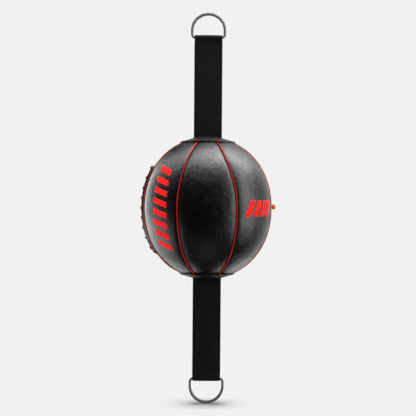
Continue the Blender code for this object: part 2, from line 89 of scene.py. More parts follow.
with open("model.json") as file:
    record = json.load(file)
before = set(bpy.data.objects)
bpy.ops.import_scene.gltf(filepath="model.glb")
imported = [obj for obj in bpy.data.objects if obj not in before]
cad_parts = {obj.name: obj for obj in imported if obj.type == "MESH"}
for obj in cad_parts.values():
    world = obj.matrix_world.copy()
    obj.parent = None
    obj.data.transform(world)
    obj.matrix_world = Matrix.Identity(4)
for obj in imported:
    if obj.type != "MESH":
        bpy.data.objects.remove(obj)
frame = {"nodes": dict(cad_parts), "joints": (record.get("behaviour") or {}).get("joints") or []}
cad_low, cad_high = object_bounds()
joints = {joint["name"]: joint for joint in frame["joints"]}
nodes = frame["nodes"]
ROOT_Z = {1: joints["upper_strap_root"]["pos_m"][2], -1: joints["lower_strap_root"]["pos_m"][2]}
BAR_Z = {1: joints["upper_ring_hinge"]["pos_m"][2], -1: joints["lower_ring_hinge"]["pos_m"][2]}
CENTRE_Z = (ROOT_Z[1] + ROOT_Z[-1]) / 2
BALL_CENTRE = np.array((0.0, 0.0, CENTRE_Z))
ENDS = (("upper", 1), ("lower", -1))


# -------- the ball's surface


def smooth_step(low, high, value):
    share = np.clip((value - low) / (high - low), 0.0, 1.0)
    return share * share * (3 - 2 * share)


def latitude_at_radius(radius):
    return acos((radius / BALL_RADIUS) ** (BALL_POWER / 2))


def latitude_at_level(z):
    size = np.arcsin((np.abs(z) / BALL_HALF_HEIGHT) ** (BALL_POWER / 2))
    return np.where(np.asarray(z) >= 0, size, -size)


def profile(latitude, height=0.0):
    """The distance from the axis and the level above the ball's middle, at a profile angle and a height."""
    latitude = np.asarray(latitude, float)
    across, along = np.maximum(np.cos(latitude), NEAR_ZERO), np.abs(np.sin(latitude))
    power = 2 / BALL_POWER
    normal_r = across ** (2 - power) / BALL_RADIUS
    normal_z = along ** (2 - power) / BALL_HALF_HEIGHT
    size = np.hypot(normal_r, normal_z)
    radius = BALL_RADIUS * across**power + height * normal_r / size
    level = BALL_HALF_HEIGHT * along**power + height * normal_z / size
    return radius, np.where(latitude >= 0, level, -level)


def cover(azimuth, latitude, height=0.0):
    """Points on, over or under the cover, in the CAD's frame."""
    radius, level = profile(latitude, height)
    turn = np.radians(azimuth)
    x, y = radius * np.sin(turn), -radius * np.cos(turn)
    return np.stack(np.broadcast_arrays(x, y, CENTRE_Z + level), axis=-1)


def outward(azimuth, latitude):
    step = cover(azimuth, latitude, 1.0) - cover(azimuth, latitude)
    return step / np.linalg.norm(step, axis=-1, keepdims=True)


def degrees_for(distance, latitude):
    return np.degrees(distance / profile(latitude)[0])


def seam_azimuth(seam, latitude):
    """Where a seam runs. The front ones draw together above the ball's middle, one draws forward below it."""
    above = dict(zip(SEAMS, SEAM_DRIFTS_ABOVE)).get(seam, 0.0)
    below = dict(zip(SEAMS, SEAM_DRIFTS_BELOW)).get(seam, 0.0)
    seam = seam + above * smooth_step(0.0, SEAM_DRIFT_END, latitude)
    return seam + below * smooth_step(0.0, SEAM_DRIFT_END, -latitude)


def wave(distance, pitch, phase=0.0):
    """A sine of this pitch along a distance."""
    return np.sin(tau * distance / pitch + phase)


# -------- meshes

# Edges that bend by more than these angles, in degrees, are shaded sharp
ROUND_SHARP = 40
TURNED_SHARP = 50
CAP_SHARP = 55
CLOTH_SHARP = 60


def unit(vectors):
    return vectors / np.maximum(np.linalg.norm(vectors, axis=-1, keepdims=True), 1e-12)


def new_object(name, data):
    """Puts a mesh, a lamp or a camera into the scene."""
    thing = bpy.data.objects.new(name, data)
    bpy.context.scene.collection.objects.link(thing)
    return thing


def finish_mesh(name, mesh, material, sharp):
    """Turns the faces outwards, smooths them and links the piece."""
    shape = bmesh.new()
    shape.from_mesh(mesh)
    bmesh.ops.recalc_face_normals(shape, faces=shape.faces)
    shape.to_mesh(mesh)
    shape.free()
    mesh.shade_smooth()
    mesh.set_sharp_from_angle(angle=radians(sharp))
    mesh.materials.append(material)
    return new_object(name, mesh)


def sweep_faces(count, around, closed, first=0):
    """Quads between neighbouring rings of points, and a face over each open end."""
    faces = []
    for i in range(count if closed else count - 1):
        near = first + i * around
        far = first + (i + 1) % count * around
        for j in range(around):
            k = (j + 1) % around
            faces.append((near + j, near + k, far + k, far + j))
    if not closed:
        faces.append(tuple(first + j for j in reversed(range(around))))
        faces.append(tuple(first + (count - 1) * around + j for j in range(around)))
    return faces


def running_length(steps):
    """The distance from the start of a path before each step and at its end."""
    return np.concatenate([[0], np.cumsum(np.linalg.norm(steps, axis=1))])


def sweep(name, rings, material, closed=False, sharp=ROUND_SHARP):
    """A solid through closed rings of points, with a UV map in metres: U round a ring, V along the rings."""
    rings = np.asarray(rings, float)
    count, around = rings.shape[:2]
    mesh = bpy.data.meshes.new(name)
    mesh.from_pydata(rings.reshape(-1, 3).tolist(), [], sweep_faces(count, around, closed))
    middle_ring = rings[count // 2]
    along = running_length(np.diff(rings.mean(axis=1), axis=0))
    round_it = running_length(np.roll(middle_ring, -1, axis=0) - middle_ring)
    layer = mesh.uv_layers.new(name="cloth").data
    for polygon in mesh.polygons:
        wraps = len({index % around for index in polygon.vertices} & {0, around - 1}) == 2
        for loop, index in zip(polygon.loop_indices, polygon.vertices):
            i, j = divmod(index, around)
            layer[loop].uv = (round_it[around if wraps and j == 0 else j], along[i])
    return finish_mesh(name, mesh, material, sharp)


def rings_round(middles, first, first_radius, second, second_radius, sides):
    """Rings of points round a line, from two directions across it and a radius along each."""
    angles = tau * np.arange(sides) / sides
    first_part = (first_radius[:, None] * np.cos(angles))[..., None] * first[..., None, :]
    second_part = (second_radius[:, None] * np.sin(angles))[..., None] * second[..., None, :]
    return middles[:, None, :] + first_part + second_part


def tube(name, points, radius, sides, material, up, closed=False, flatten=1.0):
    """A cord or wire along points. Its section may be flattened along the direction up."""
    points = np.asarray(points, float)
    radius = np.broadcast_to(radius, (len(points),))
    if closed:
        tangents = unit(np.roll(points, -1, axis=0) - np.roll(points, 1, axis=0))
    else:
        tangents = unit(np.gradient(points, axis=0))
    up = np.broadcast_to(up, points.shape)
    normals = unit(up - tangents * np.sum(up * tangents, axis=1, keepdims=True))
    rings = rings_round(points, normals, flatten * radius, np.cross(tangents, normals), radius, sides)
    return sweep(name, rings, material, closed)


def lathe(name, outline, sides, material, place, closed=True):
    """A turned piece from (radius, height) points, put in place by a matrix."""
    angles = tau * np.arange(sides) / sides
    rings = []
    for radius, height in outline:
        ring = (radius * np.cos(angles), radius * np.sin(angles), np.full(sides, height))
        rings.append(np.stack(ring, axis=1))
    rotation, shift = np.array(place.to_3x3()), np.array(place.translation)
    return sweep(name, np.array(rings) @ rotation.T + shift, material, closed, TURNED_SHARP)


def curved_through(points, steps):
    """A smooth (Catmull-Rom) line through points, with a number of steps between neighbours."""
    points = np.asarray(points, float)
    padded = np.vstack((2 * points[0] - points[1], points, 2 * points[-1] - points[-2]))
    t = (np.arange(steps) / steps)[:, None]
    line = []
    for a, b, c, d in zip(padded, padded[1:], padded[2:], padded[3:]):
        line.append(
            0.5 * (2 * b + (c - a) * t + (2 * a - 5 * b + 4 * c - d) * t**2 + (3 * b - a - 3 * c + d) * t**3)
        )
    return np.vstack((*line, points[-1:]))


def stitches(name, starts, ends, normals, radius):
    """A row of thread stitches, each a small arch whose ends dip into the cloth."""
    sides = 6
    shares = np.array((0.0, 0.08, 0.25, 0.5, 0.75, 0.92, 1.0))
    thickness = np.array((0.35, 0.75, 1.0, 1.05, 1.0, 0.75, 0.35)) * radius
    rise = np.array((-0.9, -0.2, 0.35, 0.5, 0.35, -0.2, -0.9)) * radius
    points, faces = [], []
    for start, end, normal in zip(np.asarray(starts), np.asarray(ends), np.asarray(normals)):
        sideways = unit(np.cross(end - start, normal))
        middles = start + (end - start) * shares[:, None] + normal * rise[:, None]
        rings = rings_round(middles, sideways, thickness, normal, thickness, sides)
        faces += sweep_faces(len(shares), sides, False, len(points) * sides * len(shares))
        points.append(rings.reshape(-1, 3))
    mesh = bpy.data.meshes.new(name)
    mesh.from_pydata(np.vstack(points).tolist(), [], faces)
    return finish_mesh(name, mesh, THREAD, CLOTH_SHARP)


def grid_faces(rows, columns):
    """Quads between the points of a grid, which is stored row by row."""
    for i in range(rows - 1):
        for j in range(columns - 1):
            corner = i * columns + j
            yield (corner, corner + 1, corner + 1 + columns, corner + columns)


def sheet(name, points, faces, material, thickness):
    """A smooth sheet with its thickness below the points."""
    mesh = bpy.data.meshes.new(name)
    mesh.from_pydata(points.tolist(), [], faces)
    shape = bmesh.new()
    shape.from_mesh(mesh)
    loose = [vertex for vertex in shape.verts if not vertex.link_faces]
    bmesh.ops.delete(shape, geom=loose, context="VERTS")
    shape.to_mesh(mesh)
    shape.free()
    mesh.shade_smooth()
    mesh.materials.append(material)
    piece = new_object(name, mesh)
    modifier = piece.modifiers.new("thickness", "SOLIDIFY")
    modifier.thickness = thickness
    modifier.offset = -1.0
    return piece


# -------- materials

TONE_LUMP = 38 * MM
POLISH_LUMP = 16 * MM
SOFT_LUMP = 9 * MM
SOFT_DEPTH = 0.8 * MM
CREASE_WIDTH = 0.28
PORE_SHARE = 0.5
CLOTH_ROUGHNESS = 0.78
CLOTH_SHINE = 0.12
FIBRE_SIZE = 0.4 * MM
METAL_LUMP = 6 * MM
SCRATCH_DEPTH = 0.02 * MM
RUBBER_LUMP = 3 * MM
RUBBER_GRAIN = 0.5 * MM
RUBBER_DEPTH = 0.03 * MM


def grey(value):
    return (value, value, value)


def set_inputs(node, values):
    for name, value in values.items():
        node.inputs[name].default_value = value


def new_material(name, colour, roughness, metallic=0.0):
    """A material and its main shader node."""
    material = bpy.data.materials.new(name)
    material.use_nodes = True
    shader = material.node_tree.nodes["Principled BSDF"]
    set_inputs(shader, {"Base Color": (*colour, 1.0), "Roughness": roughness, "Metallic": metallic})
    return material, shader


def add_node(tree, kind, **settings):
    node = tree.nodes.new(kind)
    for key, value in settings.items():
        setattr(node, key, value)
    return node


def link(source, target):
    """Links two sockets, in the node tree that both belong to."""
    source.id_data.links.new(source, target)


def object_coordinates(material):
    return add_node(material.node_tree, "ShaderNodeTexCoord").outputs["Object"]


def noise(place, size, detail=3.0, roughness=0.5):
    """Noise with lumps of about this size in metres."""
    node = add_node(place.id_data, "ShaderNodeTexNoise")
    set_inputs(node, {"Scale": 1 / size, "Detail": detail, "Roughness": roughness})
    link(place, node.inputs["Vector"])
    return node.outputs["Fac"]


def remap(value, low, high, from_low=0.0, from_high=1.0):
    node = add_node(value.id_data, "ShaderNodeMapRange")
    set_inputs(node, {"From Min": from_low, "From Max": from_high, "To Min": low, "To Max": high})
    link(value, node.inputs["Value"])
    return node.outputs["Result"]


def calculate(operation, first, second):
    """An operation on a socket and either another socket or a number."""
    node = add_node(first.id_data, "ShaderNodeMath", operation=operation)
    link(first, node.inputs[0])
    if isinstance(second, float):
        node.inputs[1].default_value = second
    else:
        link(second, node.inputs[1])
    return node.outputs["Value"]


def tint(shader, factor, first, second):
    """Lets the base colour follow a factor from one colour to another."""
    node = add_node(shader.id_data, "ShaderNodeMix", data_type="RGBA")
    link(factor, node.inputs["Factor"])
    set_inputs(node, {"A": (*first, 1.0), "B": (*second, 1.0)})
    link(node.outputs["Result"], shader.inputs["Base Color"])


def roughen(shader, value, low, high):
    """Lets the roughness follow a noise from low to high."""
    link(remap(value, low, high, 0.3, 0.7), shader.inputs["Roughness"])


def bump(shader, height, depth, strength=1.0, under=None):
    node = add_node(shader.id_data, "ShaderNodeBump")
    set_inputs(node, {"Strength": strength, "Distance": depth})
    link(height, node.inputs["Height"])
    if under is not None:
        link(under, node.inputs["Normal"])
    link(node.outputs["Normal"], shader.inputs["Normal"])
    return node.outputs["Normal"]


def leather(name, dark, light, roughness, pebble, depth, shine):
    """Grained leather: pebbles divided by fine creases, pores, and slow changes of tone and polish."""
    material, shader = new_material(name, dark, roughness)
    shader.inputs["Specular IOR Level"].default_value = shine
    place = object_coordinates(material)
    cells = add_node(material.node_tree, "ShaderNodeTexVoronoi", feature="DISTANCE_TO_EDGE")
    cells.inputs["Scale"].default_value = 1 / pebble
    link(place, cells.inputs["Vector"])
    creases = remap(cells.outputs["Distance"], 0.0, 1.0, 0.0, CREASE_WIDTH)
    pores = noise(place, pebble / 3, detail=2.0)
    grain = calculate("ADD", creases, calculate("MULTIPLY", pores, PORE_SHARE))
    tint(shader, noise(place, TONE_LUMP, detail=4.0, roughness=0.55), dark, light)
    polish = noise(place, POLISH_LUMP, detail=5.0, roughness=0.6)
    roughen(shader, polish, roughness - 0.06, roughness + 0.07)
    soft = bump(shader, noise(place, SOFT_LUMP, detail=5.0, roughness=0.62), SOFT_DEPTH)
    bump(shader, grain, depth, strength=0.7, under=soft)
    return material


def woven(name, dark, light, across, along, depth):
    """Cloth with yarns crossing on the UV map, which is in metres."""
    material, shader = new_material(name, dark, CLOTH_ROUGHNESS)
    shader.inputs["Specular IOR Level"].default_value = CLOTH_SHINE
    cloth = add_node(material.node_tree, "ShaderNodeUVMap", uv_map="cloth")
    parts = add_node(material.node_tree, "ShaderNodeSeparateXYZ")
    link(cloth.outputs["UV"], parts.inputs["Vector"])
    waves = []
    for axis, pitch in (("X", across), ("Y", along)):
        turns = calculate("MULTIPLY", parts.outputs[axis], tau / pitch)
        waves.append(calculate("SINE", turns, 0.0))
    fibre = noise(object_coordinates(material), FIBRE_SIZE, detail=2.0)
    height = calculate("ADD", remap(calculate("MULTIPLY", *waves), 0.0, 1.0, -1.0, 1.0), fibre)
    tint(shader, remap(height, 0.0, 1.0, 0.3, 1.5), dark, light)
    bump(shader, height, depth, strength=0.8)
    return material


def metal(name, colour, dull, roughness, scratch, metallic=1.0):
    """Plated metal with a slight change of tone and fine scratches."""
    material, shader = new_material(name, colour, roughness, metallic)
    place = object_coordinates(material)
    tone = noise(place, METAL_LUMP, detail=4.0, roughness=0.6)
    tint(shader, tone, colour, dull)
    roughen(shader, tone, roughness - 0.05, roughness + 0.1)
    bump(shader, noise(place, scratch, detail=2.0), SCRATCH_DEPTH, strength=0.5)
    return material


def rubber(name, dark, light, roughness):
    material, shader = new_material(name, dark, roughness)
    place = object_coordinates(material)
    tint(shader, noise(place, RUBBER_LUMP), dark, light)
    bump(shader, noise(place, RUBBER_GRAIN, detail=2.0), RUBBER_DEPTH, strength=0.5)
    return material


LEATHER = leather("black_leather", grey(0.0004), grey(0.0010), 0.36, 1.0 * MM, 0.07 * MM, 0.42)
CAP_LEATHER = leather("cap_leather", grey(0.0004), grey(0.0010), 0.38, 1.0 * MM, 0.07 * MM, 0.42)
PIPING = leather("red_piping", (0.19, 0.0030, 0.001), (0.23, 0.0045, 0.002), 0.5, 0.9 * MM, 0.06 * MM, 0.08)
PRINT = leather("red_print", (0.42, 0.003, 0.002), (0.46, 0.004, 0.003), 0.6, 1.0 * MM, 0.05 * MM, 0.05)
WEBBING_DARK, WEBBING_LIGHT = (0.0006, 0.0007, 0.0007), (0.0026, 0.0030, 0.0030)
WEBBING = woven("black_webbing", WEBBING_DARK, WEBBING_LIGHT, 1.7 * MM, 1.3 * MM, 0.14 * MM)
LACE = woven("black_lace", grey(0.0005), grey(0.0022), 1.2 * MM, 1.5 * MM, 0.12 * MM)
THREAD = woven("black_thread", grey(0.003), grey(0.011), 0.5 * MM, 0.5 * MM, 0.03 * MM)
NICKEL = metal("dark_nickel", (0.105, 0.103, 0.098), (0.075, 0.073, 0.070), 0.45, 0.6 * MM, 0.6)
BLACK_METAL = metal("black_eyelet", (0.035, 0.035, 0.036), grey(0.02), 0.3, 0.4 * MM)
BLADDER = rubber("bladder_rubber", grey(0.008), grey(0.016), 0.6)
PALE_RUBBER = rubber("pale_rubber", (0.36, 0.33, 0.29), (0.42, 0.39, 0.34), 0.45)
RED_RUBBER = rubber("red_rubber", (0.44, 0.042, 0.006), (0.50, 0.065, 0.009), 0.38)
CUT_EDGE, _ = new_material("cut_edge", grey(0.002), 0.9)


# -------- leather panels

SHOULDER = 2.2 * MM
SEAM_SPACE = 0.9 * MM
LEATHER_SHOWN = 1.6 * MM
EDGE_STEPS = 6
VALLEY_DEPTH = 1.8 * MM
VALLEY_REACH = 4.2 * MM
GATHER_DEPTH = 0.14 * MM
GATHER_REACH = 5 * MM
GATHER_PITCH = 6.5 * MM
GATHER_WANDER = 1.4
GATHER_WANDER_PITCH = 37 * MM
HOLLOW_DEPTH = 0.22 * MM
RIPPLE_DEPTH = 0.08 * MM
# Waves about the axis, per radian, and along the cover, per metre
HOLLOW_WAVES = ((5.3, 41), (3.1, -33))
RIPPLE_WAVES = (11.7, -70)
CAP_FLAT_RADIUS = GORE_TIP_RADIUS + 4 * MM

GORE_ROWS = 141
GORE_COLUMNS = 34
# From one seam or gore to the next, the waves start this much later, in radians
SEAM_PHASE = 2.1
GORE_PHASE = 1.7
VALVE_HOLE_RADIUS = 2.6 * MM


def shoulder(distance, radius):
    """The rounded drop of a folded edge, from nothing at its radius to its radius at the edge."""
    reach = np.clip(1 - distance / radius, 0.0, 1.0)
    return -radius * (1 - np.sqrt(1 - reach**2))


def meridian(latitude):
    """Roughly the distance along the cover from the ball's middle."""
    return latitude * (BALL_RADIUS + BALL_HALF_HEIGHT) / 2


def relief(distance, latitude, phase):
    """The leather's shape near a seam: a soft valley, and small gathers where the stitches pull."""
    along = meridian(latitude)
    gathers = wave(along, GATHER_PITCH, GATHER_WANDER * wave(along, GATHER_WANDER_PITCH, phase))
    valley = -VALLEY_DEPTH * np.exp(-distance / VALLEY_REACH)
    return valley + GATHER_DEPTH * gathers * np.exp(-distance / GATHER_REACH)


def unevenness(azimuth, latitude, phase):
    """Slow hollows and swellings of leather over a bladder, with a ripple on them."""
    turn, along = np.radians(azimuth), meridian(latitude)

    def angle(waves, shift):
        return waves[0] * turn + waves[1] * along + shift

    hollows = np.sin(angle(HOLLOW_WAVES[0], phase)) * np.cos(angle(HOLLOW_WAVES[1], 2 * phase))
    return HOLLOW_DEPTH * hollows + RIPPLE_DEPTH * np.sin(angle(RIPPLE_WAVES, 3 * phase))


def under_cap(latitude):
    """1 on the open cover and 0 under the end caps."""
    return 1 - smooth_step(-CAP_RADIUS, -CAP_FLAT_RADIUS, -profile(latitude)[0])


def panel(name, start, end, latitudes, interior, height_at, radii, hole_test=None):
    """A leather panel between two borders, with a folded edge of its own radius along each."""
    latitudes = np.asarray(latitudes, float)[:, None]
    start, end = start(latitudes), end(latitudes)
    width = np.radians(end - start) * profile(latitudes)[0]
    bends = [radius * (1 - np.cos(np.linspace(0, pi / 2, EDGE_STEPS))) for radius in radii]
    inner = np.linspace(0, 1, interior + 2)[None, 1:-1]
    from_start = np.hstack(
        (
            np.broadcast_to(bends[0], (len(latitudes), EDGE_STEPS)),
            radii[0] + (width - radii[0] - radii[1]) * inner,
            width - bends[1][::-1],
        )
    )
    azimuths = start + np.degrees(from_start / profile(latitudes)[0])
    heights = height_at(from_start, width - from_start, azimuths, latitudes)
    points = cover(azimuths, np.broadcast_to(latitudes, azimuths.shape), heights)
    faces = list(grid_faces(*points.shape[:2]))
    points = points.reshape(-1, 3)
    if hole_test is not None:
        faces = [face for face in faces if not hole_test(points[list(face)].mean(axis=0))]
    piece = sheet(name, points, faces, LEATHER, LEATHER_SHOWN)
    return piece


def panel_latitudes(rows):
    tip = latitude_at_radius(GORE_TIP_RADIUS)
    return np.linspace(-tip, tip, rows)


def seam_border(seam, side):
    """The edge of the panel that lies past a seam (side 1) or before it (side -1)."""

    def border(latitude):
        return seam_azimuth(seam, latitude) + side * degrees_for(SEAM_SPACE, latitude)

    return border


def gore_height(number):
    """Heights of a gore: a valley at each seam, slow hollows, and folded edges."""
    phase = SEAM_PHASE * number

    def height_at(from_start, from_end, azimuth, latitude):
        near = np.minimum(from_start, from_end)
        shape = relief(from_start, latitude, phase) + relief(from_end, latitude, phase + SEAM_PHASE)
        shape += unevenness(azimuth, latitude, GORE_PHASE * number)
        return shape * under_cap(latitude) + shoulder(near, SHOULDER)

    return height_at


def make_gores():
    borders = SEAMS[1:] + (SEAMS[0] + 360,)
    for number, (left, right) in enumerate(zip(borders, borders[1:]), start=1):
        gore = panel(
            f"gore_{number}_leather",
            seam_border(left, 1),
            seam_border(right, -1),
            panel_latitudes(GORE_ROWS),
            GORE_COLUMNS,
            gore_height(number),
            (SHOULDER, SHOULDER),
            valve_hole if left < VALVE_AZIMUTH < right else None,
        )
        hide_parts(f"gore_{number}")
        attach(gore, "ball")


def valve_hole(point):
    """True inside the hole that the valve's stem comes out of."""
    latitude = latitude_at_level(VALVE_LEVEL)
    axis = outward(VALVE_AZIMUTH, latitude)
    offset = point - cover(VALVE_AZIMUTH, latitude)
    return np.linalg.norm(offset - axis * np.dot(offset, axis)) < VALVE_HOLE_RADIUS


EYELET_HOLE_RADIUS = 2.9 * MM
SLIT_TAPER_START = 0.84
SLIT_DRAWN = 0.45 * MM
SLIT_END_HALF_WIDTH = 0.5 * MM
SLIT_FOLD = 2.0 * MM
FACING_ROWS = 181
FACING_COLUMNS = 28
FACING_PHASE = 5.0
FACING_SEAM_PHASE = 9.2
PULL_DEPTH = 0.35 * MM
PULL_REACH = 5 * MM
PULL_FADE = 8 * MM
HEM_RISE = 3.1 * MM
HEM_WIDTH = 16.6 * MM
HEM_EDGE = 0.8 * MM
HEM_TOP = 71.0 * MM
HEM_BOTTOM = -79.0 * MM
HEM_FADE = 4.0 * MM
FLAT_DEPTH = 3.2 * MM
FLAT_FADE = 9.0 * MM
LACING_MIDDLE = (SEAMS[0] + SEAMS[1]) / 2
LACING_HALF_ANGLE = (SEAMS[1] - SEAMS[0]) / 2
THREAD_RADIUS = 0.4 * MM
FACING_STITCH_PITCH = 3.6 * MM
FACING_STITCH_LENGTH = 2.8 * MM
FACING_STITCH_START = 1.5 * MM
FACING_STITCH_OFFSETS = (5.4 * MM, HEM_WIDTH - 1.9 * MM)


def from_slit(offset, latitude):
    """The azimuth at a distance from the slit's middle, which is positive towards the front."""
    return SLIT_AZIMUTH + degrees_for(offset, latitude)


def lace_levels():
    """The levels of the lace's crossings, from the top one down."""
    return ((LACE_ROWS - 1) / 2 - np.arange(LACE_ROWS)) * LACE_PITCH


def eyelet_places():
    """(row name, number, azimuth, latitude) of every eyelet."""
    for side, row in ((1, "front"), (-1, "rear")):
        for number, level in enumerate(lace_levels(), start=1):
            latitude = float(latitude_at_level(level))
            yield row, number, float(from_slit(side * EYELET_OFFSET, latitude)), latitude


EYELET_POINTS = np.array([cover(azimuth, latitude) for _, _, azimuth, latitude in eyelet_places()])


def eyelet_hole(point):
    """True inside the hole of any eyelet."""
    return np.linalg.norm(EYELET_POINTS - point, axis=1).min() < EYELET_HOLE_RADIUS


def slit_border(side):
    """The slit's edge on one side, drawn in a little at every crossing of the lace."""

    def border(latitude):
        level = np.abs(profile(latitude)[1])
        opening = 1 - smooth_step(SLIT_TAPER_START * SLIT_HALF_LENGTH, SLIT_HALF_LENGTH, level)
        drawn = SLIT_DRAWN * np.cos(tau * profile(latitude)[1] / LACE_PITCH)
        half = SLIT_END_HALF_WIDTH + (SLIT_HALF_WIDTH - SLIT_END_HALF_WIDTH - drawn) * opening
        return from_slit(side * half, latitude)

    return border


def facing_height(side):
    """Heights of a facing: a valley at its seam, a doubled hem at the slit, pulled in at each crossing.

    Above the lacing the narrow gore is stiff and lies flat between its seams.
    """

    def height_at(from_start, from_end, azimuth, latitude):
        to_slit, to_seam = (from_start, from_end) if side > 0 else (from_end, from_start)
        level = profile(latitude)[1]
        in_lacing = 1 - smooth_step(SLIT_HALF_LENGTH, SLIT_HALF_LENGTH + PULL_FADE, np.abs(level))
        across = (to_slit + SLIT_HALF_WIDTH - EYELET_OFFSET) / PULL_REACH
        pull = PULL_DEPTH * np.exp(-(across**2)) * np.cos(tau * level / LACE_PITCH) * in_lacing
        shape = relief(to_seam, latitude, FACING_SEAM_PHASE)
        shape = shape + unevenness(azimuth, latitude, FACING_PHASE) - pull
        share = (azimuth - LACING_MIDDLE) / LACING_HALF_ANGLE
        shape -= FLAT_DEPTH * np.clip(1 - share**2, 0, 1) * smooth_step(HEM_TOP, HEM_TOP + FLAT_FADE, level)
        from_middle = np.radians(np.abs(azimuth - SLIT_AZIMUTH)) * profile(latitude)[0]
        doubled = 1 - smooth_step(HEM_WIDTH - HEM_EDGE, HEM_WIDTH + HEM_EDGE, from_middle)
        doubled = doubled * (1 - smooth_step(HEM_TOP, HEM_TOP + HEM_FADE, level))
        doubled = doubled * smooth_step(HEM_BOTTOM - HEM_FADE, HEM_BOTTOM, level)
        edges = shoulder(to_seam, SHOULDER) + shoulder(to_slit, SLIT_FOLD)
        return shape * under_cap(latitude) + edges + HEM_RISE * doubled

    return height_at


def make_facings():
    for row, side in (("front", 1), ("rear", -1)):
        slit = slit_border(side)
        seam = seam_border(SEAMS[1] if side > 0 else SEAMS[0], -side)
        facing = panel(
            f"facing_{row}_leather",
            slit if side > 0 else seam,
            seam if side > 0 else slit,
            panel_latitudes(FACING_ROWS),
            FACING_COLUMNS,
            facing_height(side),
            (SLIT_FOLD, SHOULDER) if side > 0 else (SHOULDER, SLIT_FOLD),
            eyelet_hole,
        )
        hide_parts(f"lacing_facing_{row}")
        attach(facing, "ball")
        stitch_facing(row, side)


def stitch_facing(row, side):
    """Two rows of thread beside the slit, one on each side of the eyelets."""
    top = HEM_TOP - FACING_STITCH_PITCH
    levels = np.arange(HEM_BOTTOM + FACING_STITCH_START, top, FACING_STITCH_PITCH)
    first, last = latitude_at_level(levels), latitude_at_level(levels + FACING_STITCH_LENGTH)
    starts, ends, normals = [], [], []
    for offset in FACING_STITCH_OFFSETS:
        for low, high in zip(first, last):
            azimuths = [from_slit(side * offset, latitude) for latitude in (low, high)]
            starts.append(cover(azimuths[0], low, HEM_RISE))
            ends.append(cover(azimuths[1], high, HEM_RISE))
            normals.append(outward(azimuths[0], low))
    rows = stitches(f"facing_{row}_stitches", starts, ends, normals, THREAD_RADIUS)
    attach(rows, "ball")


TONGUE_ROWS = 61
TONGUE_COLUMNS = 14
TONGUE_FOLD = 1.0 * MM
TONGUE_PHASE = 3.0
TONGUE_UNEVENNESS = 0.5


def tongue_height(from_start, from_end, azimuth, latitude):
    return TONGUE_HEIGHT + TONGUE_UNEVENNESS * unevenness(azimuth, latitude, TONGUE_PHASE)


def make_tongue():
    end = float(latitude_at_level(TONGUE_HALF_LENGTH))
    tongue = panel(
        "tongue_leather",
        lambda latitude: from_slit(-TONGUE_HALF_WIDTH, latitude),
        lambda latitude: from_slit(TONGUE_HALF_WIDTH, latitude),
        np.linspace(-end, end, TONGUE_ROWS),
        TONGUE_COLUMNS,
        tongue_height,
        (TONGUE_FOLD, TONGUE_FOLD),
    )
    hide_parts("lacing_tongue")
    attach(tongue, "ball")


# -------- piping, lace, eyelets and valve

PIPING_SHOWN = 1.0 * MM
PIPING_HEIGHT = 0.6 * MM
LACING_PIPING_LIFT = 0.9 * MM
# Shares of the way from the middle to the cords' ends over which that lift fades
LIFT_FADE_ABOVE = (0.35, 0.65)
LIFT_FADE_BELOW = (0.8, 0.92)
PIPING_WANDER = 0.12 * MM
PIPING_WANDER_PITCH = 43 * MM
PIPING_SWELL = 0.035
PIPING_SWELL_PITCH = 3.3 * MM
PIPING_POINTS = 170


def make_piping():
    end = latitude_at_radius(PIPING_END_RADIUS)
    latitudes = np.linspace(-end, end, PIPING_POINTS)
    along = meridian(latitudes)
    above, below = end * np.array(LIFT_FADE_ABOVE), end * np.array(LIFT_FADE_BELOW)
    beside_lacing = (1 - smooth_step(*above, latitudes)) * (1 - smooth_step(*below, -latitudes))
    for number, azimuth in enumerate(SEAMS, start=1):
        wander = degrees_for(PIPING_WANDER * wave(along, PIPING_WANDER_PITCH, number), latitudes)
        swell = 1 + PIPING_SWELL * wave(along, PIPING_SWELL_PITCH)
        middle = seam_azimuth(azimuth, latitudes)
        lift = LACING_PIPING_LIFT * beside_lacing * (azimuth in SEAMS[:2])
        points = cover(middle + wander, latitudes, lift - PIPING_HEIGHT)
        normals = outward(middle, latitudes)
        cord = tube(f"piping_{number}_cord", points, PIPING_SHOWN * swell, 12, PIPING, up=normals)
        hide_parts(f"piping_{number}")
        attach(cord, "ball")


LACE_HALF_THICKNESS = 1.3 * MM
LACE_HALF_WIDTH = 3.5 * MM
LACE_IN_EYELET = 1.9 * MM
LACE_OUTER = HEM_RISE + 1.2 * MM
LACE_INNER = -4.5 * MM
LACE_BEND = 1.3 * MM
# Widths as shares of LACE_HALF_WIDTH: the first and last crossings, how the others vary, and beside an eyelet
LACE_END_WIDTH = 1.1
LACE_WIDTH_CHANGE = 0.08
LACE_NECK_WIDTH = 0.85
LACE_NECK_DROP = 0.4 * MM
LACE_SAG = 0.3 * MM
LACE_STEPS = 7


